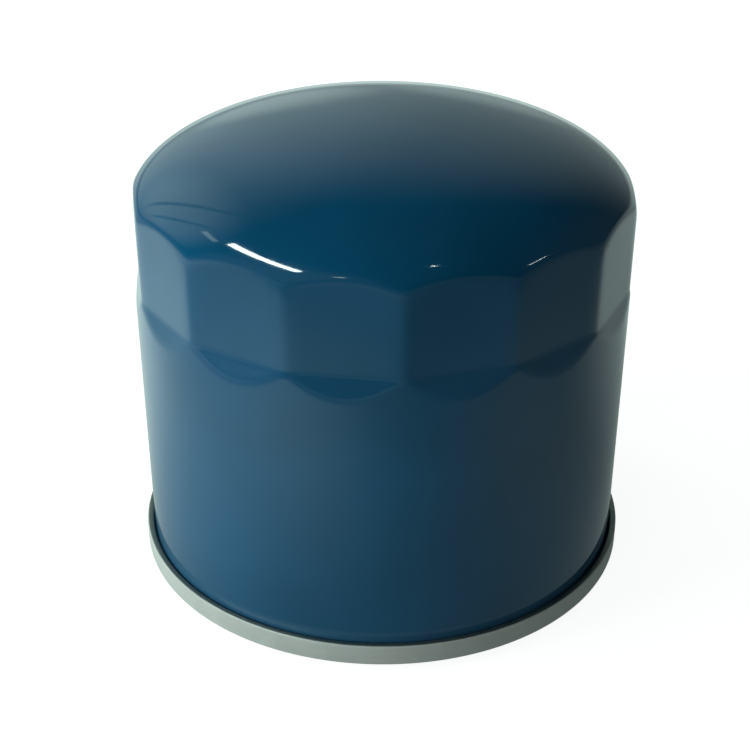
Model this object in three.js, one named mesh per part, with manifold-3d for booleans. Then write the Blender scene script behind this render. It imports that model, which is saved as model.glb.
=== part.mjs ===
// Spin-on oil filter for a small petrol engine: a drawn steel can with fifteen wrench flats, closed by a
// double-seamed lid and a threaded base plate, with a sprung pleated element and a bypass valve inside.
// Millimetres, +Z from the gasket up to the dome, origin on the axis at the gasket's sealing face, front at -Y.

import * as THREE from 'three';
import { mergeVertices } from 'three/addons/utils/BufferGeometryUtils.js';
import Module from 'manifold-3d';

const wasm = await Module();
wasm.setup();

// ---- driving dimensions -------------------------------------------------------------------------------

const CLEAR = 0.1; // air left between two pieces that touch on the real filter
const CORNER = 0.8; // bend radius of the pressed sheet parts

const SEAM_RADIUS = 40;
const SEAM_BOTTOM = 1.5;
const SEAM_HEIGHT = 3.5;
const SEAM_SHEET = 0.3; // the rollers iron the folded layers thin

const CAN_RADIUS = 38.75;
const CAN_SHEET = 0.4;
const SHOULDER_Z = 60.1; // where the straight wall turns into the dome
const DOME_HEIGHT = 13.95;
const DOME_POWER = 2.08; // superellipse exponent of the dome's outline, 2 being an ellipse
const DOME_STEPS = 7;

const FLATS = 15;
const FIRST_RIDGE = 3.8; // degrees from the front toward +X
const FLAT_FOOT_Z = 45.5; // the flats fade into the round wall between these two heights
const FLAT_FULL_Z = 49;
const STEPS_PER_FLAT = 3;

// Segments of a full turn: on the seam, on the element's pieces and on the small valve parts.
const LARGE = 48;
const MEDIUM = 36;
const SMALL = 24;

const LID_MOUTH = 26.4; // inner edge, down the inside of the gasket
const LID_PANEL_Z = 5.25;
const RIB_FOOT_Z = 2.4; // the pressed rib outside the gasket
const RIB_WIDTH = 4.2;

const GASKET_INNER = 27;
const GASKET_OUTER = 31;
const GASKET_HEIGHT = 4.9;

const PLATE_RADIUS = 37.6;
const PLATE_BOTTOM = 5.6;
const PLATE_THICKNESS = 3;
const PLATE_LAND_Z = 5.1; // the raised middle of the plate's underside, which centres the lid
const PLATE_FILLET = 1;
const COLLAR_CHAMFER = 0.5;
const COLLAR_RADIUS = 12.8;
const COLLAR_TOP = 15;
const THREAD_MAJOR = 10; // M20 x 1.5
const THREAD_MINOR = 9.19;
const THREAD_PITCH = 1.5;
const THREAD_SEGMENTS = 18;
const THREAD_STEPS = 4; // root start, root end, crest start, crest end
const INLETS = 8;
const INLET_RADIUS = 3;
const INLET_CIRCLE = 19.5;

const DRAIN_LIP_RADIUS = 24.6;
const DRAIN_RUBBER = 1.1;
const DRAIN_NECK_OUTER = 16.4;
const DRAIN_NECK_HEIGHT = 2.6;
const DRAIN_LIP_WIDTH = 1; // flat part of the lip that lies on the plate
const DRAIN_LIP_TAPER = 1.5;
const DRAIN_LIP_RISE = 0.3;

const CAP_RADIUS = 34;
const CAP_SHEET = 0.5;
const CAP_RIM = 3.6;
const LOWER_CAP_Z = 15.4; // middle of the sheet
const UPPER_CAP_Z = 60.1;
const LOWER_CAP_HOLE = 13.4;
const UPPER_CAP_HOLE = 9.6;
const POTTING = 2; // adhesive bed in each end cap

const TUBE_RADIUS = 16.6;
const TUBE_SHEET = 0.6;
const TUBE_HOLE = 2.1;
const TUBE_ROWS = 4;
const TUBE_COLUMNS = 8;

const PLEATS = 38;
const PLEAT_OUTER = 32.6;
const PLEAT_INNER = 17.6;
const PAPER = 0.6;
const FOLD_GAP = 0.4; // air inside each fold

const CLIP_DEPTH = 5;
const CLIP_HALF_WIDTH = 1.1;
const CLIP_SHEET = 0.35;

const SEAT_PORT = 7;
const SEAT_NECK = 8.6;
const SEAT_FLANGE = 12.6;
const SEAT_FACE_Z = 57.4;

const SEAL_RADIUS = 9.2;
const SEAL_THICKNESS = 1;
const POPPET_THICKNESS = 0.8;
const POPPET_SKIRT = 1.8;
const STEM_RADIUS = 1.6;
const STEM_HEAD = 3;
const STEM_HEAD_HEIGHT = 0.8;
const STEM_FOOT_Z = 43.6;
const STEM_CHAMFER = 0.4;

const CAGE_RADIUS = 11.6;
const CAGE_FLANGE = 14.6;
const CAGE_FLOOR_Z = 45.3;
const CAGE_SHEET = 0.6;
const CAGE_WINDOWS = 4;
const CAGE_WINDOW_RADIUS = 3.4;

const BYPASS_COIL = { radius: 5.6, wire: 0.9, turns: 6 };
const RETAINER_COIL = { radius: 15.5, wire: 1.8, turns: 3.5, top: 69.9 };
const COIL_STEPS_PER_TURN = 12;
const COIL_END_TURNS = 0.7; // closed part of a coil at each end

// ---- shape helpers ------------------------------------------------------------------------------------

const FULL_TURN = 2 * Math.PI;

// Closed outline of a strip of sheet that follows a line of [radius, height] points.
function sheet(line, thickness) {
  const points = line.map(([r, z]) => new THREE.Vector2(r, z));
  const across = points.map((point, i) => {
    const into = point.clone().sub(points[Math.max(i - 1, 0)]).normalize();
    const out = points[Math.min(i + 1, points.length - 1)].clone().sub(point).normalize();
    const along = into.clone().add(out).normalize();
    const straight = into.lengthSq() * out.lengthSq() > 0 ? along.dot(into) : 1;
    return new THREE.Vector2(-along.y, along.x).multiplyScalar(thickness / 2 / straight);
  });
  const left = points.map((point, i) => point.clone().add(across[i]));
  const right = points.map((point, i) => point.clone().sub(across[i]));
  return [...left, ...right.reverse()].map((point) => [point.x, point.y]);
}

// Line of corners with each inner corner cut off, as a coarse bend; a short side is cut at most in half.
function bent(corners, radius = CORNER) {
  const mostOfSide = 0.49;
  const points = [corners[0]];
  for (let i = 1; i < corners.length - 1; i += 1) {
    const [before, corner, after] = corners.slice(i - 1, i + 2).map(([r, z]) => new THREE.Vector2(r, z));
    const start = corner.clone().lerp(before, Math.min(radius / corner.distanceTo(before), mostOfSide));
    const end = corner.clone().lerp(after, Math.min(radius / corner.distanceTo(after), mostOfSide));
    points.push([start.x, start.y], [end.x, end.y]);
  }
  points.push(corners[corners.length - 1]);
  return points;
}

function flatRing(inner, outer, bottom, top, segments) {
  return turned([[inner, bottom], [outer, bottom], [outer, top], [inner, top]], segments);
}

// Solid of revolution about Z; the outline closes on itself or starts and ends on the axis.
function turned(outline, segments) {
  const next = (i) => outline[(i + 1) % outline.length];
  const area = outline.reduce((sum, [r, z], i) => sum + r * next(i)[1] - next(i)[0] * z, 0);
  const ordered = area > 0 ? outline : [...outline].reverse();
  const points = ordered.map(([r, z]) => new THREE.Vector2(r, z));
  if (points[0].x > 0) points.push(points[0].clone());
  return new THREE.LatheGeometry(points, segments).rotateX(Math.PI / 2);
}

// Round wire wound about Z: flat closed end turns with an even rise between them.
function coil({ radius, wire, turns }, bottom, top) {
  class Winding extends THREE.Curve {
    getPoint(t, target = new THREE.Vector3()) {
      const endShare = COIL_END_TURNS / turns;
      const rise = THREE.MathUtils.clamp((t - endShare) / (1 - 2 * endShare), 0, 1);
      const angle = FULL_TURN * turns * t;
      const height = THREE.MathUtils.lerp(bottom + wire * t, top - wire * (1 - t), rise);
      return target.set(radius * Math.sin(angle), -radius * Math.cos(angle), height);
    }
  }
  const section = new THREE.Shape().absarc(0, 0, wire / 2, 0, FULL_TURN, false);
  const steps = Math.round(turns * COIL_STEPS_PER_TURN);
  const options = { steps, extrudePath: new Winding(), curveSegments: 3 }; // a six-sided wire
  return new THREE.ExtrudeGeometry(section, options);
}

function solidOf(geometry) {
  const bare = geometry.clone();
  bare.deleteAttribute('normal');
  bare.deleteAttribute('uv');
  const merged = mergeVertices(bare);
  const { position } = merged.attributes;
  return new wasm.Manifold(new wasm.Mesh({
    numProp: 3,
    vertProperties: new Float32Array(position.array),
    triVerts: new Uint32Array(merged.index.array),
  }));
}

function geometryOf(solid) {
  const { vertProperties, triVerts } = solid.getMesh();
  const geometry = new THREE.BufferGeometry();
  geometry.setAttribute('position', new THREE.BufferAttribute(vertProperties, 3));
  geometry.setIndex(new THREE.BufferAttribute(triVerts, 1));
  geometry.computeVertexNormals();
  return geometry;
}

// The geometry with every cutter taken out of it.
function cut(geometry, cutters) {
  return geometryOf(cutters.reduce((solid, cutter) => solid.subtract(solidOf(cutter)), solidOf(geometry)));
}

// ---- housing ------------------------------------------------------------------------------------------

// Outline of the dome from the shoulder to the axis; inset moves it toward the inside.
function domeLine(inset) {
  return Array.from({ length: DOME_STEPS + 1 }, (_, i) => {
    const angle = (i / DOME_STEPS) * (Math.PI / 2);
    const outward = i === DOME_STEPS ? 0 : Math.cos(angle) ** (2 / DOME_POWER);
    const upward = Math.sin(angle) ** (2 / DOME_POWER);
    return [(CAN_RADIUS - inset) * outward, SHOULDER_Z + (DOME_HEIGHT - inset) * upward];
  });
}

// Pulls the vertices between the flats' foot and the dome in to fifteen flat faces.
function pressFlats(geometry) {
  const { position } = geometry.attributes;
  const half = Math.PI / FLATS;
  const point = new THREE.Vector3();
  for (let i = 0; i < position.count; i += 1) {
    point.fromBufferAttribute(position, i);
    const radius = Math.hypot(point.x, point.y);
    const nearWall = radius > CAN_RADIUS * Math.cos(half) - 3 * CAN_SHEET; // leaves the middle of the dome alone
    const depth = THREE.MathUtils.smoothstep(point.z, FLAT_FOOT_Z, FLAT_FULL_Z);
    if (nearWall && depth > 0) {
      const inset = isOuterFace(radius, point.z) ? 0 : CAN_SHEET;
      const angle = Math.atan2(point.x, -point.y);
      const fromMiddle = Math.abs(((angle % (2 * half)) + 2 * half) % (2 * half) - half);
      const flatRadius = (CAN_RADIUS * Math.cos(half) - inset) / Math.cos(fromMiddle);
      const wanted = THREE.MathUtils.lerp(radius, Math.min(radius, flatRadius), depth);
      point.multiply(new THREE.Vector3(wanted / radius, wanted / radius, 1));
      position.setXYZ(i, point.x, point.y, point.z);
    }
  }
  return geometry;
}

// Tells the can's outer face from its inner one by the middle of the sheet.
function isOuterFace(radius, z) {
  const rise = Math.max(z - SHOULDER_Z, 0) / (DOME_HEIGHT - CAN_SHEET / 2);
  const middle = (CAN_RADIUS - CAN_SHEET / 2) * Math.max(1 - rise ** DOME_POWER, 0) ** (1 / DOME_POWER);
  return radius > middle;
}

// Radii of the double seam's layers, counted out from the can's wall.
const COVER_HOOK = CAN_RADIUS + CLEAR + SEAM_SHEET / 2;
const BODY_HOOK = COVER_HOOK + SEAM_SHEET + CLEAR;
const SEAM_WALL = SEAM_RADIUS - SEAM_SHEET / 2;
const SEAM_TOP = SEAM_BOTTOM + SEAM_HEIGHT;
const BODY_HOOK_FOOT = SEAM_BOTTOM + SEAM_SHEET + CLEAR + CAN_SHEET / 2;
const BODY_HOOK_TOP = SEAM_TOP - 1;

function makeCan() {
  const hookOutside = [
    [BODY_HOOK + SEAM_SHEET / 2, BODY_HOOK_TOP],
    [BODY_HOOK + SEAM_SHEET / 2, BODY_HOOK_FOOT],
    [BODY_HOOK - SEAM_SHEET / 2, BODY_HOOK_FOOT - CAN_SHEET / 2],
    [CAN_RADIUS - CAN_SHEET, BODY_HOOK_FOOT - CAN_SHEET / 2],
  ];
  const hookInside = [
    [CAN_RADIUS, BODY_HOOK_FOOT + CAN_SHEET / 2],
    [BODY_HOOK - SEAM_SHEET / 2, BODY_HOOK_FOOT + CAN_SHEET / 2],
    [BODY_HOOK - SEAM_SHEET / 2, BODY_HOOK_TOP],
  ];
  const wallLevels = [SEAM_TOP, FLAT_FOOT_Z, (FLAT_FOOT_Z + FLAT_FULL_Z) / 2, FLAT_FULL_Z];
  const wall = (inset) => [...wallLevels.map((z) => [CAN_RADIUS - inset, z]), ...domeLine(inset)];
  const outline = [...wall(0).reverse(), ...hookInside, ...hookOutside, ...wall(CAN_SHEET)];
  return pressFlats(turned(outline, FLATS * STEPS_PER_FLAT));
}

function makeSeamLid() {
  const ribInner = GASKET_OUTER + CLEAR + SEAM_SHEET / 2;
  const chuckWall = CAN_RADIUS - CAN_SHEET - CLEAR - SEAM_SHEET / 2;
  const line = [
    [LID_MOUTH, SEAM_BOTTOM + SEAM_SHEET],
    [LID_MOUTH, LID_PANEL_Z],
    [ribInner, LID_PANEL_Z],
    [ribInner, RIB_FOOT_Z],
    [ribInner + RIB_WIDTH, RIB_FOOT_Z],
    [ribInner + RIB_WIDTH, LID_PANEL_Z],
    [chuckWall, LID_PANEL_Z],
    [chuckWall, SEAM_BOTTOM + SEAM_SHEET / 2],
    [SEAM_WALL, SEAM_BOTTOM + SEAM_SHEET / 2],
    [SEAM_WALL, SEAM_TOP - SEAM_SHEET / 2],
    [COVER_HOOK, SEAM_TOP - SEAM_SHEET / 2],
    [COVER_HOOK, BODY_HOOK_FOOT + CAN_SHEET / 2 + SEAM_SHEET],
  ];
  return turned(sheet(line, SEAM_SHEET), LARGE);
}

function makeSeamCompound() {
  const bottom = BODY_HOOK_TOP + CLEAR;
  const top = SEAM_TOP - SEAM_SHEET - CLEAR;
  return flatRing(BODY_HOOK - SEAM_SHEET / 2, BODY_HOOK + SEAM_SHEET / 2, bottom, top, LARGE);
}

// Screw-shaped cutter whose crest is the thread's major radius; each turn climbs one pitch.
function threadCutter(bottom, top) {
  const cornerClimb = [0, 0.375, 0.5, 0.875]; // heights of the section's corners as shares of the pitch
  const radii = [THREAD_MAJOR, THREAD_MAJOR, THREAD_MINOR - CLEAR, THREAD_MINOR - CLEAR];
  const turns = Math.ceil((top - bottom) / THREAD_PITCH) + 2;
  const start = bottom - 2 * THREAD_PITCH;
  const rows = turns * THREAD_STEPS + 1;
  const positions = [];
  for (let row = 0; row < rows + THREAD_STEPS; row += 1) {
    const corner = row % THREAD_STEPS;
    const climb = Math.floor(row / THREAD_STEPS) + cornerClimb[corner];
    for (let side = 0; side < THREAD_SEGMENTS; side += 1) {
      const angle = (side / THREAD_SEGMENTS) * FULL_TURN;
      const z = start + THREAD_PITCH * (climb + side / THREAD_SEGMENTS);
      positions.push(radii[corner] * Math.cos(angle), radii[corner] * Math.sin(angle), z);
    }
  }
  const vertex = (row, side) => (side < THREAD_SEGMENTS ? row * THREAD_SEGMENTS + side
    : (row + THREAD_STEPS) * THREAD_SEGMENTS);
  const faces = [];
  for (let row = 0; row < rows - 1; row += 1) {
    for (let side = 0; side < THREAD_SEGMENTS; side += 1) {
      const corners = [vertex(row, side), vertex(row, side + 1), vertex(row + 1, side + 1), vertex(row + 1, side)];
      faces.push(corners[0], corners[1], corners[2], corners[0], corners[2], corners[3]);
    }
  }
  const loop = (row) => [
    ...Array.from({ length: THREAD_SEGMENTS + 1 }, (_, side) => vertex(row, side)),
    ...Array.from({ length: THREAD_STEPS - 1 }, (_, i) => vertex(row + THREAD_STEPS - 1 - i, 0)),
  ];
  const closeEnd = (row, z, upward) => {
    const centre = positions.length / 3;
    positions.push(0, 0, z);
    const rim = loop(row);
    rim.forEach((corner, i) => {
      const following = rim[(i + 1) % rim.length];
      faces.push(centre, ...(upward ? [corner, following] : [following, corner]));
    });
  };
  closeEnd(0, start, false);
  closeEnd(rows - 1, start + THREAD_PITCH * (turns + 1), true);
  const geometry = new THREE.BufferGeometry();
  geometry.setAttribute('position', new THREE.Float32BufferAttribute(positions, 3));
  geometry.setIndex(faces);
  return geometry;
}

function makeBasePlate() {
  const plateTop = PLATE_BOTTOM + PLATE_THICKNESS;
  const landRadius = LID_MOUTH - SEAM_SHEET / 2 - CLEAR;
  const blank = turned([
    [THREAD_MINOR, PLATE_LAND_Z],
    [landRadius, PLATE_LAND_Z],
    [landRadius, PLATE_BOTTOM],
    [PLATE_RADIUS, PLATE_BOTTOM],
    [PLATE_RADIUS, plateTop],
    [COLLAR_RADIUS + PLATE_FILLET, plateTop],
    [COLLAR_RADIUS, plateTop + PLATE_FILLET],
    [COLLAR_RADIUS, COLLAR_TOP - COLLAR_CHAMFER],
    [COLLAR_RADIUS - COLLAR_CHAMFER, COLLAR_TOP],
    [THREAD_MINOR, COLLAR_TOP],
  ], LARGE);
  const inlets = Array.from({ length: INLETS }, (_, i) => {
    const angle = ((i + 0.5) / INLETS) * FULL_TURN;
    const hole = new THREE.CylinderGeometry(INLET_RADIUS, INLET_RADIUS, 3 * PLATE_THICKNESS, 12);
    hole.rotateX(Math.PI / 2);
    return hole.translate(INLET_CIRCLE * Math.cos(angle), INLET_CIRCLE * Math.sin(angle), plateTop);
  });
  return cut(blank, [...inlets, threadCutter(PLATE_LAND_Z, COLLAR_TOP)]);
}

function makeGasket() {
  return flatRing(GASKET_INNER, GASKET_OUTER, 0, GASKET_HEIGHT, LARGE);
}

// Rubber cone whose lip lies on the base plate outside the inlet holes.
function makeAntiDrainValve() {
  const neckInner = COLLAR_RADIUS + CLEAR;
  const neckTop = LOWER_CAP_Z - CAP_SHEET / 2 - CLEAR;
  const neckFoot = neckTop - DRAIN_NECK_HEIGHT;
  const lipZ = PLATE_BOTTOM + PLATE_THICKNESS + CLEAR;
  return turned([
    [neckInner, neckTop],
    [neckInner, neckFoot],
    [DRAIN_NECK_OUTER - DRAIN_RUBBER, neckFoot],
    [DRAIN_LIP_RADIUS - 2 * DRAIN_LIP_WIDTH, lipZ + DRAIN_LIP_RISE],
    [DRAIN_LIP_RADIUS - DRAIN_LIP_WIDTH, lipZ],
    [DRAIN_LIP_RADIUS, lipZ],
    [DRAIN_LIP_RADIUS, lipZ + DRAIN_RUBBER / 2],
    [DRAIN_LIP_RADIUS - DRAIN_LIP_TAPER, lipZ + DRAIN_RUBBER],
    [DRAIN_NECK_OUTER, neckFoot + DRAIN_RUBBER],
    [DRAIN_NECK_OUTER, neckTop],
  ], MEDIUM);
}

// ---- filter element -----------------------------------------------------------------------------------

const LOWER_BED = LOWER_CAP_Z + CAP_SHEET / 2 + CLEAR;
const UPPER_BED = UPPER_CAP_Z - CAP_SHEET / 2 - CLEAR;
const MEDIA_BOTTOM = LOWER_BED + POTTING + CLEAR;
const MEDIA_TOP = UPPER_BED - POTTING - CLEAR;

function makeEndCap(middle, hole, side) {
  const line = bent([[CAP_RADIUS, middle + side * CAP_RIM], [CAP_RADIUS, middle], [hole, middle]]);
  return turned(sheet(line, CAP_SHEET), MEDIUM);
}

function makePotting(bottom) {
  return flatRing(TUBE_RADIUS + CLEAR, CAP_RADIUS - CORNER, bottom, bottom + POTTING, MEDIUM);
}

function makeCentreTube() {
  const tube = flatRing(TUBE_RADIUS - TUBE_SHEET, TUBE_RADIUS, LOWER_BED, UPPER_BED, MEDIUM);
  const holes = [];
  for (let row = 0; row < TUBE_ROWS; row += 1) {
    for (let column = 0; column < TUBE_COLUMNS; column += 1) {
      const height = THREE.MathUtils.lerp(MEDIA_BOTTOM, MEDIA_TOP, (row + 1) / (TUBE_ROWS + 1));
      const angle = ((column + 0.5 * (row % 2)) / TUBE_COLUMNS) * FULL_TURN;
      const hole = new THREE.CylinderGeometry(TUBE_HOLE, TUBE_HOLE, 6 * TUBE_SHEET, 6);
      holes.push(hole.translate(0, TUBE_RADIUS, 0).rotateZ(angle).translate(0, 0, height));
    }
  }
  return cut(tube, holes);
}

// One face of the pleated paper: a fold outward and a fold inward for each pleat.
function pleatedLine(outer, inner, outerHalfWidth, innerHalfWidth, reversed) {
  const points = [];
  for (let i = 0; i < 2 * PLEATS; i += 1) {
    const [radius, halfWidth] = i % 2 ? [inner, innerHalfWidth] : [outer, outerHalfWidth];
    const middle = (i / (2 * PLEATS)) * FULL_TURN;
    for (const side of [-1, 1]) {
      const angle = middle + side * Math.asin(halfWidth / radius);
      points.push(new THREE.Vector2(radius * Math.sin(angle), -radius * Math.cos(angle)));
    }
  }
  return reversed ? points.reverse() : points;
}

function makeFilterMedia() {
  const air = FOLD_GAP / 2;
  const shape = new THREE.Shape(pleatedLine(PLEAT_OUTER, PLEAT_INNER + PAPER, air + PAPER, air, false));
  shape.holes.push(new THREE.Path(pleatedLine(PLEAT_OUTER - PAPER, PLEAT_INNER, air, air + PAPER, true)));
  const options = { depth: MEDIA_TOP - MEDIA_BOTTOM, bevelEnabled: false };
  return new THREE.ExtrudeGeometry(shape, options).translate(0, 0, MEDIA_BOTTOM);
}

// Folded strip that pinches the paper's two ends together along the pleat at the back.
function makeMediaClip() {
  const inside = CLIP_HALF_WIDTH;
  const outside = inside + CLIP_SHEET;
  const foot = PLEAT_OUTER - CLIP_DEPTH;
  const crest = PLEAT_OUTER + CLEAR;
  const shape = new THREE.Shape([
    [-outside, foot], [-inside, foot], [-inside, crest], [inside, crest],
    [inside, foot], [outside, foot], [outside, crest + CLIP_SHEET], [-outside, crest + CLIP_SHEET],
  ].map(([x, y]) => new THREE.Vector2(x, y)));
  const options = { depth: MEDIA_TOP - MEDIA_BOTTOM, bevelEnabled: false };
  return new THREE.ExtrudeGeometry(shape, options).translate(0, 0, MEDIA_BOTTOM);
}

// ---- bypass valve -------------------------------------------------------------------------------------

const SEAL_TOP = SEAT_FACE_Z - CLEAR;
const SEAL_BOTTOM = SEAL_TOP - SEAL_THICKNESS;
const POPPET_TOP = SEAL_BOTTOM - CLEAR;
const POPPET_BOTTOM = POPPET_TOP - POPPET_THICKNESS;
const STEM_HOLE = STEM_RADIUS + CLEAR;

// Flanged bush through the upper end cap; the seal closes on its lower lip.
function makeBypassSeat() {
  const flangeZ = UPPER_CAP_Z + CAP_SHEET / 2 + CLEAR + CAP_SHEET / 2;
  const lipZ = SEAT_FACE_Z + CAP_SHEET / 2;
  const line = bent([[SEAT_FLANGE, flangeZ], [SEAT_NECK, flangeZ], [SEAT_NECK, lipZ], [SEAT_PORT, lipZ]]);
  return turned(sheet(line, CAP_SHEET), SMALL);
}

function makeBypassSeal() {
  return flatRing(STEM_HOLE, SEAL_RADIUS, SEAL_BOTTOM, SEAL_TOP, SMALL);
}

function makeBypassPoppet() {
  const middle = (POPPET_TOP + POPPET_BOTTOM) / 2;
  const line = bent([[STEM_HOLE, middle], [SEAL_RADIUS, middle], [SEAL_RADIUS, middle - POPPET_SKIRT]]);
  return turned(sheet(line, POPPET_THICKNESS), SMALL);
}

function makeBypassStem() {
  const headFoot = SEAL_TOP + CLEAR;
  return turned([
    [0, STEM_FOOT_Z],
    [STEM_RADIUS - STEM_CHAMFER, STEM_FOOT_Z],
    [STEM_RADIUS, STEM_FOOT_Z + STEM_CHAMFER],
    [STEM_RADIUS, headFoot],
    [STEM_HEAD, headFoot],
    [STEM_HEAD, headFoot + STEM_HEAD_HEIGHT / 2],
    [STEM_HEAD / 2, headFoot + STEM_HEAD_HEIGHT],
    [0, headFoot + STEM_HEAD_HEIGHT],
  ], SMALL);
}

// Windowed cup under the upper end cap that carries the spring and guides the stem.
function makeBypassCage() {
  const flangeZ = UPPER_BED - CAGE_SHEET / 2;
  const line = bent([
    [CAGE_FLANGE, flangeZ], [CAGE_RADIUS, flangeZ], [CAGE_RADIUS, CAGE_FLOOR_Z], [STEM_HOLE, CAGE_FLOOR_Z],
  ]);
  const windowZ = (flangeZ + CAGE_FLOOR_Z) / 2;
  const windows = Array.from({ length: CAGE_WINDOWS / 2 }, (_, i) => {
    const hole = new THREE.CylinderGeometry(CAGE_WINDOW_RADIUS, CAGE_WINDOW_RADIUS, 4 * CAGE_RADIUS, 12);
    return hole.rotateZ((i / CAGE_WINDOWS) * FULL_TURN).translate(0, 0, windowZ);
  });
  return cut(turned(sheet(line, CAGE_SHEET), SMALL), windows);
}

function makeBypassSpring() {
  const bottom = CAGE_FLOOR_Z + CAGE_SHEET / 2 + CLEAR + BYPASS_COIL.wire / 2;
  const top = POPPET_BOTTOM - CLEAR - BYPASS_COIL.wire / 2;
  return coil(BYPASS_COIL, bottom, top);
}

function makeRetainingSpring() {
  const bottom = UPPER_CAP_Z + CAP_SHEET / 2 + CLEAR + RETAINER_COIL.wire / 2;
  return coil(RETAINER_COIL, bottom, RETAINER_COIL.top);
}

// ---- assembly -----------------------------------------------------------------------------------------

const finish = (color, roughness, metalness) => new THREE.MeshStandardMaterial({ color, roughness, metalness });
const bluePaint = finish(0x0f4a6e, 0.15, 0.2);
const zincSteel = finish(0xa9b3ae, 0.45, 0.9);
const phosphatedSteel = finish(0x6d6f70, 0.5, 0.9);
const tinPlate = finish(0xc3c5c2, 0.35, 0.95);
const springSteel = finish(0x55575a, 0.35, 0.95);
const blackRubber = finish(0x17181a, 0.7, 0);
const orangeRubber = finish(0xb4501f, 0.6, 0);
const sealant = finish(0x2a2d2e, 0.8, 0);
const adhesive = finish(0x9a8f6a, 0.6, 0);
const paper = finish(0xc98f35, 0.85, 0);

const filter = new THREE.Group();

function add(name, geometry, material) {
  const mesh = new THREE.Mesh(geometry, material);
  mesh.name = name;
  filter.add(mesh);
  return mesh;
}

add('can', makeCan(), bluePaint).rotation.z = THREE.MathUtils.degToRad(FIRST_RIDGE);
add('seam_lid', makeSeamLid(), zincSteel);
add('seam_compound', makeSeamCompound(), sealant);
add('base_plate', makeBasePlate(), phosphatedSteel);
add('gasket', makeGasket(), blackRubber);
add('anti_drain_valve', makeAntiDrainValve(), orangeRubber);
add('lower_end_cap', makeEndCap(LOWER_CAP_Z, LOWER_CAP_HOLE, 1), tinPlate);
add('upper_end_cap', makeEndCap(UPPER_CAP_Z, UPPER_CAP_HOLE, -1), tinPlate);
add('lower_potting', makePotting(LOWER_BED), adhesive);
add('upper_potting', makePotting(UPPER_BED - POTTING), adhesive);
add('centre_tube', makeCentreTube(), tinPlate);
add('filter_media', makeFilterMedia(), paper);
add('media_clip', makeMediaClip(), tinPlate);
add('bypass_seat', makeBypassSeat(), tinPlate);
add('bypass_cage', makeBypassCage(), tinPlate);
add('bypass_seal', makeBypassSeal(), blackRubber);
add('bypass_poppet', makeBypassPoppet(), tinPlate);
add('bypass_stem', makeBypassStem(), springSteel);
add('bypass_spring', makeBypassSpring(), springSteel);
add('retaining_spring', makeRetainingSpring(), springSteel);

export default filter;
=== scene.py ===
"""Looks of a spin-on oil filter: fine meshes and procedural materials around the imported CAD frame.

Lengths are millimetres until a mesh is made, and azimuths are degrees from the front (-Y) toward +X.
Lights are placed in metres.
"""

import math

import bpy
import numpy as np
from mathutils import Matrix, Vector


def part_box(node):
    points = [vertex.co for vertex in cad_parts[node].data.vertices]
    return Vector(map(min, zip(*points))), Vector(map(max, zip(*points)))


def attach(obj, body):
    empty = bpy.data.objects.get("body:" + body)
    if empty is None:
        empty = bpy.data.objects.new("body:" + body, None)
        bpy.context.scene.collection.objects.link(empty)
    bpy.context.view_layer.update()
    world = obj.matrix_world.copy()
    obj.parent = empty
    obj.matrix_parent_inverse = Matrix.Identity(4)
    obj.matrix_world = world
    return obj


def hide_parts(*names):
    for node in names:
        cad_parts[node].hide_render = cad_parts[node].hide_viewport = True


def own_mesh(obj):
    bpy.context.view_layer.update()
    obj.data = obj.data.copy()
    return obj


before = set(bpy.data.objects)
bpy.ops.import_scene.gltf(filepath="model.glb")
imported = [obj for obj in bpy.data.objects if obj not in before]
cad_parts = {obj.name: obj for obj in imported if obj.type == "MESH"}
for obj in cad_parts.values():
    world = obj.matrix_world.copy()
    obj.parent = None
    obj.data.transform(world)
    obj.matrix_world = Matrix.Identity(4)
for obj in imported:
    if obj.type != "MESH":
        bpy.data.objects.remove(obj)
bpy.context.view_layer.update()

MM = 0.001
TURN = 2 * math.pi


# ---- sizes read from the frame ----


def span(node):
    """Outer radius, lowest and highest Z of a CAD node, in millimetres."""
    low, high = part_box(node)
    return high.x / MM, low.z / MM, high.z / MM


SEAM_RADIUS, SEAM_BOTTOM, LID_TOP = span("seam_lid")
_, HOOK_BOTTOM, CROWN_Z = span("can")
GASKET_RADIUS, GASKET_FOOT, GASKET_TOP = span("gasket")
PLATE_RADIUS, LAND_BOTTOM, COLLAR_TOP = span("base_plate")
DRAIN_RADIUS, DRAIN_BOTTOM, DRAIN_TOP = span("anti_drain_valve")
CAP_OUTER, LOWER_CAP_BOTTOM, LOWER_RIM_TOP = span("lower_end_cap")
_, UPPER_RIM_BOTTOM, UPPER_CAP_TOP = span("upper_end_cap")
POTTING_RADIUS, LOWER_BED, LOWER_BED_TOP = span("lower_potting")
_, UPPER_BED_BOTTOM, UPPER_BED = span("upper_potting")
TUBE_RADIUS, TUBE_BOTTOM, TUBE_TOP = span("centre_tube")
_, MEDIA_BOTTOM, MEDIA_TOP = span("filter_media")
CLIP_HALF_WIDTH, CLIP_BOTTOM, CLIP_TOP = span("media_clip")
SEAT_FLANGE, SEAT_BOTTOM, SEAT_TOP = span("bypass_seat")
CAGE_FLANGE, CAGE_BOTTOM, CAGE_TOP = span("bypass_cage")
SEAL_RADIUS, SEAL_BOTTOM, SEAL_TOP = span("bypass_seal")
POPPET_OUTER, POPPET_BOTTOM, POPPET_TOP = span("bypass_poppet")
STEM_HEAD, STEM_BOTTOM, STEM_TOP = span("bypass_stem")
BYPASS_COIL_OUTER, BYPASS_COIL_BOTTOM, BYPASS_COIL_TOP = span("bypass_spring")
RETAINER_OUTER, RETAINER_BOTTOM, RETAINER_TOP = span("retaining_spring")

# ---- sizes the boxes don't tell ----

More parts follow.
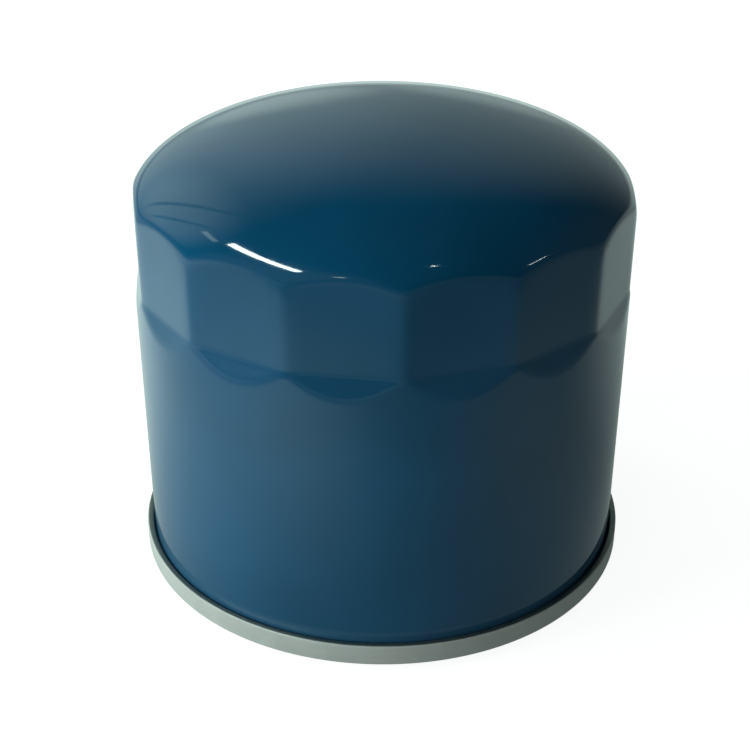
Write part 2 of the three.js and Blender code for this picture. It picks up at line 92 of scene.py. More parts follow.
SEAM_DEPTH = 1.25  # how far the seam stands out from the can's wall
SEAM_HEIGHT = 3.5
SEAM_SHEET = 0.3
SEAM_TOP = SEAM_BOTTOM + SEAM_HEIGHT
CAN_RADIUS = SEAM_RADIUS - SEAM_DEPTH
CAN_SHEET = 0.4
DOME_HEIGHT = 13.95
DOME_POWER = 2.08
SHOULDER_Z = CROWN_Z - DOME_HEIGHT
AIR = 0.1  # gap between neighbouring pieces
LID_MOUTH = 26.4
GASKET_INNER = 27

FLATS = 15
FIRST_RIDGE = 3.8
HALF_FLAT = 180 / FLATS
APOTHEM = CAN_RADIUS * math.cos(math.radians(HALF_FLAT))
FLAT_FOOT = 48.9  # the flat's lower edge, where the run-out slope starts
FLAT_SLOPE = 0.25  # how far the run-out comes forward for each millimetre down
CREASE = 0.45  # depth over which two faces of the can blend into a rounded edge
FOOT_CREASE = 0.2  # the same where the run-out slope meets the wall
FOOT_BEND = 0.3  # height over which the flat turns into its run-out slope

FLATS_REACH = 0.6  # share of the can's radius that the flats never reach inside
RUN_OUT_LOW = 43.5
RUN_OUT_HIGH = 51.5

CAP_SHEET = 0.5
LOWER_CAP_HOLE = 13.4
UPPER_CAP_HOLE = 9.6
TUBE_SHEET = 0.6
CLIP_SHEET = 0.35
CLIP_DEPTH = 5
PLEATS = 38
PLEAT_OUTER = 32.6
PLEAT_INNER = 17.6
PAPER = 0.6
FOLD_GAP = 0.4
THREAD_MAJOR = 10
THREAD_MINOR = 9.19
THREAD_PITCH = 1.5

STEM_RADIUS = 1.6
STEM_HOLE = STEM_RADIUS + AIR
BYPASS_WIRE = 0.9
BYPASS_TURNS = 6
RETAINER_WIRE = 1.8
RETAINER_TURNS = 3.5


# ---- outline helpers ----


def bent(corners, radius=0.8, steps=6):
    """A line of [radius, height] corners with each inner corner rounded by an arc-like bend."""
    longest = 0.49  # share of a straight side that one bend may take, so that two bends never meet
    points = [np.array(corners[0], float)]
    for before, corner, after in zip(corners, corners[1:], corners[2:]):
        before, corner, after = (np.array(p, float) for p in (before, corner, after))
        back, ahead = before - corner, after - corner
        start = corner + back * min(radius / np.linalg.norm(back), longest)
        end = corner + ahead * min(radius / np.linalg.norm(ahead), longest)
        for share in np.linspace(0, 1, steps + 1):
            points.append((1 - share) ** 2 * start + 2 * share * (1 - share) * corner + share**2 * end)
    points.append(np.array(corners[-1], float))
    return np.array(points)


def sheet(line, thickness):
    """Closed outline of a strip of sheet that follows line, with half-round ends."""
    line = np.array(line, float)
    steps = np.diff(line, axis=0)
    steps /= np.linalg.norm(steps, axis=1, keepdims=True)
    into = np.vstack([steps[:1], steps])
    out = np.vstack([steps, steps[-1:]])
    along = into + out
    along /= np.linalg.norm(along, axis=1, keepdims=True)
    across = np.stack([-along[:, 1], along[:, 0]], 1) / np.sum(along * into, axis=1, keepdims=True)
    half = thickness / 2
    left = line + across * half
    right = (line - across * half)[::-1]
    cap_angles = np.linspace(0, math.pi, 7)[1:-1]

    def cap(centre, side, forward):
        return [centre + half * (math.cos(a) * side + math.sin(a) * forward) for a in cap_angles]

    end = cap(line[-1], across[-1], steps[-1])
    start = cap(line[0], -across[0], -steps[0])
    return np.vstack([left, end, right, start])


def ring_section(inner, outer, bottom, top, edge):
    """Rectangle of [radius, height] points with rounded corners."""
    centres = [(inner + edge, bottom + edge), (outer - edge, bottom + edge)]
    centres += [(outer - edge, top - edge), (inner + edge, top - edge)]
    points = []
    for quarter, (r, z) in enumerate(centres):
        for angle in np.linspace(180, 270, 6) + 90 * quarter:
            a = math.radians(angle)
            points.append((r + edge * math.cos(a), z + edge * math.sin(a)))
    return np.array(points)


# ---- mesh helpers ----


def make_object(name, points, faces, sharp_angle=40):
    """A smooth-shaded mesh object from points in millimetres."""
    mesh = bpy.data.meshes.new(name)
    mesh.from_pydata((np.asarray(points, float) * MM).tolist(), [], faces)
    mesh.validate()
    made = bpy.data.objects.new(name, mesh)
    bpy.context.scene.collection.objects.link(made)
    shade(made, sharp_angle)
    return made


def shade(made, sharp_angle):
    made.data.polygons.foreach_set("use_smooth", [True] * len(made.data.polygons))
    made.data.set_sharp_from_angle(angle=math.radians(sharp_angle))


def around(radius, angle):
    """X and Y of points at a radius and an angle in radians from the front."""
    return radius * np.sin(angle), -radius * np.cos(angle)


def turned(name, outline, segments=192, press=None, sharp_angle=40):
    """Solid of revolution. The outline closes on itself, or starts and ends on the axis.

    press, if given, takes angles and the outline's radii and heights, and returns the pressed radii.
    """
    outline = np.array(outline, float)
    after = np.roll(outline, -1, axis=0)
    area = np.sum(outline[:, 0] * after[:, 1] - after[:, 0] * outline[:, 1])
    if area < 0:
        outline = outline[::-1]
    capped = abs(outline[0, 0]) < 1e-6 and abs(outline[-1, 0]) < 1e-6
    body = outline[1:-1] if capped else outline
    angles = np.arange(segments) / segments * TURN
    grid_angle, radius = np.meshgrid(angles, body[:, 0], indexing="ij")
    height = np.broadcast_to(body[:, 1], radius.shape)
    if press is not None:
        radius = press(grid_angle, radius, height)
    x, y = around(radius, grid_angle)
    points = np.stack([x, y, height], -1).reshape(-1, 3)
    rows = len(body)
    last = rows - 1 if capped else rows
    faces = []
    for i in range(segments):
        j = (i + 1) % segments
        for k in range(last):
            m = (k + 1) % rows
            faces.append((i * rows + k, j * rows + k, j * rows + m, i * rows + m))
    if capped:
        low, high = len(points), len(points) + 1
        points = np.vstack([points, [0, 0, outline[0, 1]], [0, 0, outline[-1, 1]]])
        for i in range(segments):
            j = (i + 1) % segments
            faces.append((low, j * rows, i * rows))
            faces.append((high, i * rows + rows - 1, j * rows + rows - 1))
    return make_object(name, points, faces, sharp_angle)


def prism(name, outline, hole, bottom, top, sharp_angle=40):
    """Upright prism between a closed outline and a hole with the same number of points."""
    count = len(outline)
    loops = [outline, outline, hole, hole]
    heights = [bottom, top, bottom, top]
    points = np.vstack([np.column_stack([loop, np.full(count, z)]) for loop, z in zip(loops, heights)])
    outer_low, outer_high, inner_low, inner_high = (k * count for k in range(4))
    faces = []
    for i in range(count):
        j = (i + 1) % count
        faces.append((outer_low + i, outer_low + j, outer_high + j, outer_high + i))
        faces.append((inner_low + j, inner_low + i, inner_high + i, inner_high + j))
        faces.append((outer_high + i, outer_high + j, inner_high + j, inner_high + i))
        faces.append((outer_low + j, outer_low + i, inner_low + i, inner_low + j))
    return make_object(name, points, faces, sharp_angle)


def bar(name, section, bottom, top):
    """Upright solid bar with a closed section."""
    count = len(section)
    points = np.vstack([np.column_stack([section, np.full(count, z)]) for z in (bottom, top)])
    faces = [tuple(range(count))[::-1], tuple(range(count, 2 * count))]
    faces += [(i, (i + 1) % count, count + (i + 1) % count, count + i) for i in range(count)]
    return make_object(name, points, faces)


def swept_wire(name, path, wire, sides=20):
    """Round wire along a path of points, narrowed a little at its two ends."""
    end_share = 0.8
    path = np.array(path, float)
    along = np.gradient(path, axis=0)
    along /= np.linalg.norm(along, axis=1, keepdims=True)
    up = np.array([0.0, 0.0, 1.0])
    side = np.cross(along, up)
    side /= np.linalg.norm(side, axis=1, keepdims=True)
    lift = np.cross(side, along)
    radii = np.full(len(path), wire / 2)
    radii[0] = radii[-1] = wire / 2 * end_share
    turn = np.arange(sides) / sides * TURN
    ring = side[:, None, :] * np.cos(turn)[None, :, None] + lift[:, None, :] * np.sin(turn)[None, :, None]
    points = (path[:, None, :] + ring * radii[:, None, None]).reshape(-1, 3)
    faces = []
    for i in range(len(path) - 1):
        for k in range(sides):
            m = (k + 1) % sides
            faces.append((i * sides + k, i * sides + m, (i + 1) * sides + m, (i + 1) * sides + k))
    faces.append(tuple(range(sides))[::-1])
    faces.append(tuple((len(path) - 1) * sides + k for k in range(sides)))
    return make_object(name, points, faces)


def drilled(made, cutters, sharp_angle=40):
    """Cuts the cutters out of a piece and removes them."""
    bpy.ops.object.select_all(action="DESELECT")
    for cutter in cutters:
        cutter.select_set(True)
    bpy.context.view_layer.objects.active = cutters[0]
    if len(cutters) > 1:
        bpy.ops.object.join()
    cutter = cutters[0]
    difference = made.modifiers.new("cut", "BOOLEAN")
    difference.object = cutter
    difference.operation = "DIFFERENCE"
    difference.solver = "EXACT"
    bpy.context.view_layer.objects.active = made
    bpy.ops.object.modifier_apply(modifier=difference.name)
    bpy.data.objects.remove(cutter)
    shade(made, sharp_angle)
    return made


def rod(radius, length, place, direction, sides=48):
    """Round cutter of a given length centred at place and lying along direction."""
    turn = np.arange(sides) / sides * TURN
    circle = np.column_stack([radius * np.cos(turn), radius * np.sin(turn)])
    made = bar("cutter", circle, -length / 2, length / 2)
    turn_to = Vector(direction).to_track_quat("Z", "Y").to_matrix().to_4x4()
    made.data.transform(Matrix.Translation(Vector(place) * MM) @ turn_to)
    return made


# ---- material helpers ----


MOST_NOISE = (0.3, 0.7)  # where nearly all values of a noise texture lie


class Graph:
    """The nodes and links of one shader."""

    def __init__(self, tree):
        self.nodes = tree.nodes
        self.links = tree.links

    def math(self, operation, *values):
        """One step of arithmetic on numbers or node outputs."""
        node = self.nodes.new("ShaderNodeMath")
        node.operation = operation
        for socket, value in zip(node.inputs, values):
            if isinstance(value, (int, float)):
                socket.default_value = value
            else:
                self.links.new(value, socket)
        return node.outputs[0]


class Recipe(Graph):
    """A material with a Principled shader, in object coordinates measured in millimetres."""

    def __init__(self, name, color, roughness, metallic=0.0, **sockets):
        self.material = bpy.data.materials.new(name)
        self.material.use_nodes = True
        super().__init__(self.material.node_tree)
        self.shader = self.nodes["Principled BSDF"]
        self.set("Base Color", (*color, 1))
        self.set("Roughness", roughness)
        self.set("Metallic", metallic)
        for socket, value in sockets.items():
            self.set(socket.replace("_", " "), value)
        coordinates = self.nodes.new("ShaderNodeTexCoord")
        self.place = self.nodes.new("ShaderNodeVectorMath")
        self.place.operation = "SCALE"
        self.place.inputs["Scale"].default_value = 1 / MM
        self.links.new(coordinates.outputs["Object"], self.place.inputs[0])
        self.bumped = None

    def set(self, socket, value):
        self.shader.inputs[socket].default_value = value

    def feed(self, socket, output):
        self.links.new(output, self.shader.inputs[socket])

    def stretched(self, scale):
        """The place scaled per axis, for streaks and bands."""
        node = self.nodes.new("ShaderNodeVectorMath")
        node.operation = "MULTIPLY"
        node.inputs[1].default_value = scale
        self.links.new(self.place.outputs[0], node.inputs[0])
        return node.outputs[0]

    def axes(self):
        node = self.nodes.new("ShaderNodeSeparateXYZ")
        self.links.new(self.place.outputs[0], node.inputs[0])
        return node.outputs

    def height_above_floor(self):
        return self.axes()["Z"]

    def radius(self):
        """Distance from the filter's axis."""
        x, y, _ = self.axes()
        return self.math("SQRT", self.math("ADD", self.math("MULTIPLY", x, x), self.math("MULTIPLY", y, y)))

    def noise(self, scale, detail=3.0, roughness=0.5, place=None, distortion=0.0):
        """Cloudy noise with about scale lumps to the millimetre."""
        node = self.nodes.new("ShaderNodeTexNoise")
        node.inputs["Scale"].default_value = scale
        node.inputs["Detail"].default_value = detail
        node.inputs["Roughness"].default_value = roughness
        node.inputs["Distortion"].default_value = distortion
        self.links.new(place or self.place.outputs[0], node.inputs["Vector"])
        return node.outputs["Fac"]

    def cells(self, scale):
        """A patchwork of cells, each of one value, with about scale cells to the millimetre."""
        node = self.nodes.new("ShaderNodeTexVoronoi")
        node.inputs["Scale"].default_value = scale
        self.links.new(self.place.outputs[0], node.inputs["Vector"])
        return node.outputs["Color"]

    def ranged(self, value, low, high, across=(0.0, 1.0)):
        """Goes from low to high while the value goes across the given pair, and stays at them outside it."""
        node = self.nodes.new("ShaderNodeMapRange")
        node.inputs["From Min"].default_value = across[0]
        node.inputs["From Max"].default_value = across[1]
        node.inputs["To Min"].default_value = low
        node.inputs["To Max"].default_value = high
        self.links.new(value, node.inputs["Value"])
        return node.outputs["Result"]

    def mixed(self, factor, first, second):
        """The first colour where factor is 0 and the second where it is 1."""
        node = self.nodes.new("ShaderNodeMix")
        node.data_type = "RGBA"
        self.links.new(factor, node.inputs["Factor"])
        for socket, value in (("A", first), ("B", second)):
            target = [s for s in node.inputs if s.name == socket and s.type == "RGBA"][0]
            if isinstance(value, tuple):
                target.default_value = (*value, 1)
            else:
                self.links.new(value, target)
        return [s for s in node.outputs if s.type == "RGBA"][0]

    def bump(self, height, depth):
        """Adds a bump of a depth in millimetres on top of the ones before."""
        node = self.nodes.new("ShaderNodeBump")
        node.inputs["Distance"].default_value = depth * MM
        self.links.new(height, node.inputs["Height"])
        if self.bumped is not None:
            self.links.new(self.bumped, node.inputs["Normal"])
        self.bumped = node.outputs["Normal"]
        self.feed("Normal", self.bumped)


def shaded_color(color, factor):
    return tuple(min(c * factor, 1.0) for c in color)


# ---- materials ----


def blue_paint():
    """Glossy enamel over drawn steel: faint orange peel, slow waviness, and a paler, greyer band just above
    the seam, which is a painted reflection of the floor.
    """
    blue = (0.0035, 0.067, 0.150)
    sheen_blue = (0.022, 0.083, 0.165)
    sheen_band = (SEAM_TOP + 1.0, SEAM_TOP + 1.8)
    recipe = Recipe("blue_paint", blue, 0.09, IOR=1.5)
    tone = recipe.ranged(recipe.noise(0.05, detail=2.0), 0.0, 1.0, MOST_NOISE)
    enamel = recipe.mixed(tone, shaded_color(blue, 0.9), shaded_color(blue, 1.1))
    # Painted reflection: from the seam up to about 1.8 mm above it, the paint is paler and greyer in place
    # of the floor's mirrored light.
    dust_and_sheen = recipe.ranged(recipe.height_above_floor(), 1.0, 0.0, sheen_band)
    recipe.feed("Base Color", recipe.mixed(dust_and_sheen, enamel, sheen_blue))
    recipe.feed("Roughness", recipe.ranged(recipe.noise(0.4, detail=4.0), 0.05, 0.09, MOST_NOISE))
    waves = recipe.noise(0.06, detail=1.0)
    recipe.bump(waves, 0.1)
    orange_peel = recipe.noise(0.9, detail=2.0)
    recipe.bump(orange_peel, 0.0012)
    return recipe.material


def zinc_steel():
    """Dull galvanised sheet with soft rolling streaks and faint spangle, and painted shade, dark and fully
    metallic, along the inner edge of the seam's top.
    """
    grey = (0.54, 0.52, 0.51)
    groove_shade_color = (0.24, 0.27, 0.26)
    dull_metallic = 0.1
    recipe = Recipe("zinc_steel", grey, 0.5, dull_metallic)
    spangle = recipe.ranged(recipe.cells(0.35), 0.0, 1.0)
    tone = recipe.mixed(spangle, shaded_color(grey, 0.95), shaded_color(grey, 1.05))
    streaks = recipe.noise(1.0, detail=4.0, place=recipe.stretched((0.08, 0.08, 3.0)))
    worn = recipe.mixed(recipe.ranged(streaks, 0.0, 0.5, MOST_NOISE), tone, shaded_color(grey, 0.85))
    # Painted shade: the top of the seam next to the can is dark and mirror-like, standing for the shaded
    # groove between seam and can.
    inside_edge = recipe.ranged(recipe.radius(), 1.0, 0.0, (SEAM_RADIUS - 0.22, SEAM_RADIUS - 0.12))
    near_top = recipe.ranged(recipe.height_above_floor(), 0.0, 1.0, (SEAM_TOP - 1.2, SEAM_TOP - 0.8))
    groove_shade = recipe.math("MULTIPLY", inside_edge, near_top)
    recipe.feed("Base Color", recipe.mixed(groove_shade, worn, groove_shade_color))
    recipe.feed("Metallic", recipe.ranged(groove_shade, dull_metallic, 1.0))
    recipe.feed("Roughness", recipe.ranged(recipe.noise(0.6, detail=4.0), 0.42, 0.56, MOST_NOISE))
    recipe.bump(streaks, 0.004)
    grain = recipe.noise(2.5)
    recipe.bump(grain, 0.003)
    return recipe.material


def plate_steel():
    """Oiled pressed steel with brown stains and fine scuffs."""
    grey = (0.33, 0.33, 0.34)
    brown = (0.2, 0.17, 0.14)
    recipe = Recipe("plate_steel", grey, 0.4, 0.95)
    stains = recipe.ranged(recipe.noise(0.12, detail=5.0, roughness=0.6), 0.0, 1.0, (0.45, 0.7))
    recipe.feed("Base Color", recipe.mixed(stains, grey, brown))
    recipe.feed("Roughness", recipe.ranged(recipe.noise(0.8, detail=5.0), 0.3, 0.55, MOST_NOISE))
    scuffs = recipe.noise(1.8, detail=5.0)
    recipe.bump(scuffs, 0.006)
    return recipe.material


def tin_plate():
    """Satin tin plate with rolling grain along one direction."""
    grey = (0.62, 0.62, 0.6)
    recipe = Recipe("tin_plate", grey, 0.3, 1.0)
    grain = recipe.noise(1.0, detail=5.0, place=recipe.stretched((0.1, 3.0, 0.1)))
    recipe.feed("Base Color", recipe.mixed(grain, shaded_color(grey, 0.86), shaded_color(grey, 1.1)))
    recipe.feed("Roughness", recipe.ranged(grain, 0.22, 0.4, MOST_NOISE))
    recipe.bump(grain, 0.003)
    return recipe.material


def spring_steel():
    """Dark drawn wire with a thin oil film."""
    grey = (0.2, 0.2, 0.21)
    recipe = Recipe("spring_steel", grey, 0.3, 1.0)
    tone = recipe.noise(0.5, detail=4.0)
    recipe.feed("Base Color", recipe.mixed(tone, shaded_color(grey, 0.7), shaded_color(grey, 1.3)))
    recipe.feed("Roughness", recipe.ranged(recipe.noise(1.5), 0.22, 0.42, MOST_NOISE))
    drawing_marks = recipe.noise(4.0, detail=2.0)
    recipe.bump(drawing_marks, 0.003)
    return recipe.material


def rubber(name, color, dust_and_sheen):
    """Moulded rubber with a fine matte skin and a trace of talc."""
    recipe = Recipe(name, color, 0.6, IOR=1.45)
    talc = recipe.ranged(recipe.noise(0.35, detail=6.0, roughness=0.65), 0.0, 0.5, (0.5, 0.8))
    recipe.feed("Base Color", recipe.mixed(talc, color, dust_and_sheen))
    recipe.feed("Roughness", recipe.ranged(recipe.noise(0.9, detail=4.0), 0.5, 0.72, MOST_NOISE))
    skin = recipe.noise(5.0, detail=2.0)
    recipe.bump(skin, 0.008)
    return recipe.material


def sealant():
    """Dull lining compound, slightly lumpy."""
    dark = (0.02, 0.025, 0.023)
    recipe = Recipe("sealant", dark, 0.75)
    recipe.feed("Base Color", recipe.mixed(recipe.noise(0.8), dark, shaded_color(dark, 2.0)))
    lumps = recipe.noise(1.2)
    recipe.bump(lumps, 0.05)
    return recipe.material


def adhesive():
    """Cured plastisol with small bubbles."""
    tan = (0.46, 0.38, 0.2)
    recipe = Recipe("adhesive", tan, 0.45, Subsurface_Weight=0.1)
    tone = recipe.noise(0.3, detail=4.0)
    recipe.feed("Base Color", recipe.mixed(tone, shaded_color(tan, 0.8), shaded_color(tan, 1.15)))
    swells = recipe.noise(0.5, detail=2.0)
    recipe.bump(swells, 0.15)
    bubbles = recipe.cells(1.4)
    recipe.bump(bubbles, 0.03)
    return recipe.material


def filter_paper():
    """Resin-treated paper, mottled and with pale fibres."""
    amber = (0.62, 0.36, 0.1)
    pale_fibre = (0.82, 0.62, 0.32)
    recipe = Recipe("filter_paper", amber, 0.85, Sheen_Weight=0.15)
    lengthwise = recipe.stretched((1.4, 1.4, 0.3))
    fibres = recipe.noise(1.0, detail=6.0, roughness=0.7, place=lengthwise, distortion=1.5)
    mottling = recipe.noise(0.15, detail=5.0)
    tone = recipe.mixed(mottling, shaded_color(amber, 0.78), shaded_color(amber, 1.15))
    recipe.feed("Base Color", recipe.mixed(recipe.ranged(fibres, 0.0, 0.6, (0.4, 0.8)), tone, pale_fibre))
    recipe.bump(fibres, 0.03)
    return recipe.material


# ---- the can ----

# Radii of the seam's folded layers, at the middle of the sheet.
COVER_HOOK = CAN_RADIUS + AIR + SEAM_SHEET / 2
BODY_HOOK = COVER_HOOK + SEAM_SHEET + AIR
SEAM_WALL = SEAM_RADIUS - SEAM_SHEET / 2
BODY_HOOK_TOP = SEAM_TOP - 1


def smooth_min(a, b, blend):
    """The lesser of a and b, rounded off where they come within blend of each other."""
    near = np.maximum(blend - np.abs(a - b), 0) / blend
    return np.minimum(a, b) - near * near * blend / 4


def press_flats(angle, radius, height):
    """Presses the flats, each with a sloped run-out at its foot, into the wall and the dome's edge."""
    half = math.radians(HALF_FLAT)
    from_ridge = np.mod(angle - math.radians(FIRST_RIDGE), 2 * half)
    from_middle = np.abs(from_ridge - half)
    below = FLAT_FOOT - height
    slope = FLAT_SLOPE * (below + np.sqrt(below**2 + FOOT_BEND**2)) / 2
    inset = np.where(outer_face(radius, height), 0.0, CAN_SHEET)
    flat = (APOTHEM - inset + slope) / np.cos(from_middle)
    on_slope = np.clip(below, 0, 1)
    pressed = smooth_min(flat, radius, CREASE + (FOOT_CREASE - CREASE) * on_slope)
    may_press = (height > SEAM_TOP + 1) & (radius > CAN_RADIUS * FLATS_REACH)
    return np.where(may_press, pressed, radius)


def outer_face(radius, height):
    """True where a point of the can's outline is on its outer face."""
    rise = np.clip((height - SHOULDER_Z) / (DOME_HEIGHT - CAN_SHEET / 2), 0, 1)
    middle = (CAN_RADIUS - CAN_SHEET / 2) * (1 - rise**DOME_POWER) ** (1 / DOME_POWER)
    return radius > middle


def dome(inset, steps):
    """Outline of the dome from the shoulder up to the axis."""
    angles = np.linspace(0, math.pi / 2, steps + 1)
    across = np.cos(angles) ** (2 / DOME_POWER)
    across[-1] = 0
    up = np.sin(angles) ** (2 / DOME_POWER)
    return np.column_stack([(CAN_RADIUS - inset) * across, SHOULDER_Z + (DOME_HEIGHT - inset) * up])


def make_can():
    """Deep-drawn can. Its rows of points are close together where the flats run out."""
    levels = np.concatenate([
        [SEAM_TOP, 20, 35, 42],
        np.linspace(RUN_OUT_LOW, RUN_OUT_HIGH, 41),
        np.linspace(RUN_OUT_HIGH + 1, SHOULDER_Z - 0.8, 10),
    ])
    outer_wall = np.column_stack([np.full(len(levels), CAN_RADIUS), levels])
    inner_wall = outer_wall - [CAN_SHEET, 0]
    hook_foot = HOOK_BOTTOM + CAN_SHEET / 2
    hook = bent([
        (CAN_RADIUS - CAN_SHEET / 2, SEAM_TOP - 0.6),
        (CAN_RADIUS - CAN_SHEET / 2, hook_foot),
        (BODY_HOOK, hook_foot),
        (BODY_HOOK, BODY_HOOK_TOP),
    ], radius=0.35)
    strip = sheet(hook, SEAM_SHEET)
    outer_dome, inner_dome = dome(0, 64), dome(CAN_SHEET, 40)
    outline = np.vstack([outer_dome[::-1][:-1], outer_wall[::-1], strip, inner_wall, inner_dome])
    return turned("can", outline, segments=360, press=press_flats)


def make_seam_lid():
    """One strip of sheet, from the lid's mouth past the gasket's channel and a rib to the seam's curl."""
    rib_width = 4.2
    rib_foot = 2.4
    wall_middle = 3.2
    hook_foot = 2.6
    crest_dip = 0.05
    rib_inner = GASKET_RADIUS + AIR + SEAM_SHEET / 2
    rib_outer = rib_inner + rib_width
    chuck_wall = CAN_RADIUS - CAN_SHEET - AIR - SEAM_SHEET / 2
    panel = LID_TOP - SEAM_SHEET / 2
    foot = SEAM_BOTTOM + SEAM_SHEET / 2
    pan = bent([
        (LID_MOUTH, SEAM_BOTTOM + SEAM_SHEET),
        (LID_MOUTH, panel),
        (rib_inner, panel),
        (rib_inner, rib_foot),
        (rib_outer, rib_foot),
        (rib_outer, panel),
        (chuck_wall, panel),
        (chuck_wall, wall_middle),
    ], radius=0.55)
    seam_crest = SEAM_TOP - SEAM_SHEET / 2
    curl = bent([
        (chuck_wall, wall_middle),
        (chuck_wall, foot),
        (SEAM_WALL, foot),
        (SEAM_WALL, seam_crest),
        (COVER_HOOK, seam_crest - crest_dip),
        (COVER_HOOK, hook_foot),
    ], radius=0.28, steps=8)
    return turned("seam_lid", sheet(np.vstack([pan[:-1], curl]), SEAM_SHEET), segments=360)


def make_seam_compound():
    _, bottom, top = span("seam_compound")
    half = SEAM_SHEET / 2
    return turned("seam_compound", ring_section(BODY_HOOK - half, BODY_HOOK + half, bottom, top, edge=0.1))


# ---- base, gasket and drain valve ----


def thread_cutter(bottom, top, segments=96):
    """Screw-shaped solid whose crest is the thread's major radius.

    Its surface is one spiral strip: each turn has one row of points for each share of the pitch.
    """
    rounding = 0.1
    minor = THREAD_MINOR - AIR
    profile = [
        (0, THREAD_MAJOR),
        (0.06, THREAD_MAJOR),
        (0.125, THREAD_MAJOR - rounding),
        (0.44, minor + rounding),
        (0.5, minor),
        (0.56, minor),
        (0.875, minor + rounding),
        (0.94, THREAD_MAJOR - rounding),
    ]
    shares, radii = np.array(profile).T
    order = len(profile)
    turns = math.ceil((top - bottom) / THREAD_PITCH) + 3
    start = bottom - 2 * THREAD_PITCH
    rows = turns * order + 1
    row = np.arange(rows + order)
    climb = row // order + shares[row % order]
    angle = np.arange(segments) / segments * TURN
    radius, turn = np.meshgrid(radii[row % order], angle, indexing="ij")
    height = start + THREAD_PITCH * (climb[:, None] + turn / TURN)
    x, y = radius * np.cos(turn), radius * np.sin(turn)
    points = np.stack([x, y, height], -1).reshape(-1, 3).tolist()

    def vertex(k, side):
        return k * segments + side if side < segments else (k + order) * segments

    faces = []
    for k in range(rows - 1):
        for i in range(segments):
            faces.append((vertex(k, i), vertex(k, i + 1), vertex(k + 1, i + 1), vertex(k + 1, i)))
    for first, z, upward in ((0, start, False), (rows - 1, start + THREAD_PITCH * (turns + 1), True)):
        rim = [vertex(first, side) for side in range(segments + 1)]
        rim += [vertex(first + order - 1 - i, 0) for i in range(order - 1)]
        centre = len(points)
        points.append([0, 0, z])
        for here, following in zip(rim, rim[1:] + rim[:1]):
            faces.append((centre, here, following) if upward else (centre, following, here))
    return make_object("cutter", points, faces)


def make_base_plate():
    """Plate with a raised middle, a threaded collar and a ring of inlet holes."""
    inlets = 8
    inlet_radius = 3
    inlet_circle = 19.5
    right_through = 10
    rim_bottom = LAND_BOTTOM + 0.5
    plate_top = rim_bottom + 3
    collar = 12.8
    land = LID_MOUTH - SEAM_SHEET / 2 - AIR
    blank = turned("base_plate", [
        (THREAD_MINOR, LAND_BOTTOM + 0.9),
        (THREAD_MINOR + 1.0, LAND_BOTTOM),
        (land - 0.25, LAND_BOTTOM),
        (land, LAND_BOTTOM + 0.2),
        (land, rim_bottom),
        (PLATE_RADIUS - 0.4, rim_bottom),
        (PLATE_RADIUS, rim_bottom + 0.4),
        (PLATE_RADIUS, plate_top - 0.4),
        (PLATE_RADIUS - 0.4, plate_top),
        (collar + 1.4, plate_top),
        (collar + 0.6, plate_top + 0.25),
        (collar + 0.1, plate_top + 0.8),
        (collar, plate_top + 1.5),
        (collar, COLLAR_TOP - 0.5),
        (collar - 0.5, COLLAR_TOP),
        (THREAD_MINOR + 0.6, COLLAR_TOP),
        (THREAD_MINOR, COLLAR_TOP - 0.6),
    ], sharp_angle=30)
    holes = []
    for i in range(inlets):
        angle = (i + 0.5) / inlets * TURN
        x, y = inlet_circle * math.cos(angle), inlet_circle * math.sin(angle)
        holes.append(rod(inlet_radius, right_through, (x, y, plate_top - 2), (0, 0, 1)))
    drilled(blank, holes, sharp_angle=30)
    return drilled(blank, [thread_cutter(LAND_BOTTOM, COLLAR_TOP)], sharp_angle=30)


def make_gasket():
    outline = ring_section(GASKET_INNER, GASKET_RADIUS, GASKET_FOOT, GASKET_TOP, edge=0.35)
    return turned("gasket", outline, segments=288)


def make_anti_drain_valve():
    """Rubber skirt: a neck round the collar and a cone whose lip rests outside the inlet holes."""
    neck_inner = 12.9
    neck_foot = DRAIN_TOP - 2.6
    outline = bent([
        (neck_inner + 0.3, DRAIN_TOP),
        (neck_inner, DRAIN_TOP - 0.3),
        (neck_inner, neck_foot),
        (15.4, neck_foot),
        (DRAIN_RADIUS - 2, DRAIN_BOTTOM + 0.3),
        (DRAIN_RADIUS - 1, DRAIN_BOTTOM),
        (DRAIN_RADIUS, DRAIN_BOTTOM + 0.1),
        (DRAIN_RADIUS, DRAIN_BOTTOM + 0.5),
        (DRAIN_RADIUS - 1.5, DRAIN_BOTTOM + 1.1),
        (16.6, neck_foot + 0.9),
        (16.2, neck_foot + 1.4),
        (16.4, DRAIN_TOP - 0.4),
        (16.0, DRAIN_TOP),
        (14.5, DRAIN_TOP - 0.15),
    ], radius=0.5, steps=5)
    return turned("anti_drain_valve", outline)


# ---- filter element ----


def make_end_cap(name, middle, rim, hole):
    """Pressed cap; middle is the Z of the sheet's mid-plane, rim the Z of its turned edge."""
    wall = CAP_OUTER - CAP_SHEET / 2
    line = bent([(wall, rim), (wall, middle), (hole, middle)], radius=0.8)
    return turned(name, sheet(line, CAP_SHEET), segments=288)


def make_potting(name, bottom, top):
    """Adhesive bed round the centre tube, with rounded edges."""
    return turned(name, ring_section(TUBE_RADIUS + AIR, POTTING_RADIUS, bottom, top, edge=0.4))


def make_centre_tube():
    """Tube with rows of holes, each row half a step round from the one below."""
    rows, columns = 4, 8
    hole_radius = 2.1
    wall = ring_section(TUBE_RADIUS - TUBE_SHEET, TUBE_RADIUS, TUBE_BOTTOM, TUBE_TOP, edge=0.15)
    tube = turned("centre_tube", wall)
    holes = []
    for row in range(rows):
        height = MEDIA_BOTTOM + (MEDIA_TOP - MEDIA_BOTTOM) * (row + 1) / (rows + 1)
        for column in range(columns):
            angle = (column + 0.5 * (row % 2)) / columns * TURN
            x, y = -TUBE_RADIUS * math.sin(angle), TUBE_RADIUS * math.cos(angle)
            holes.append(rod(hole_radius, 6 * TUBE_SHEET, (x, y, height), (x, y, 0), sides=32))
    return drilled(tube, holes)


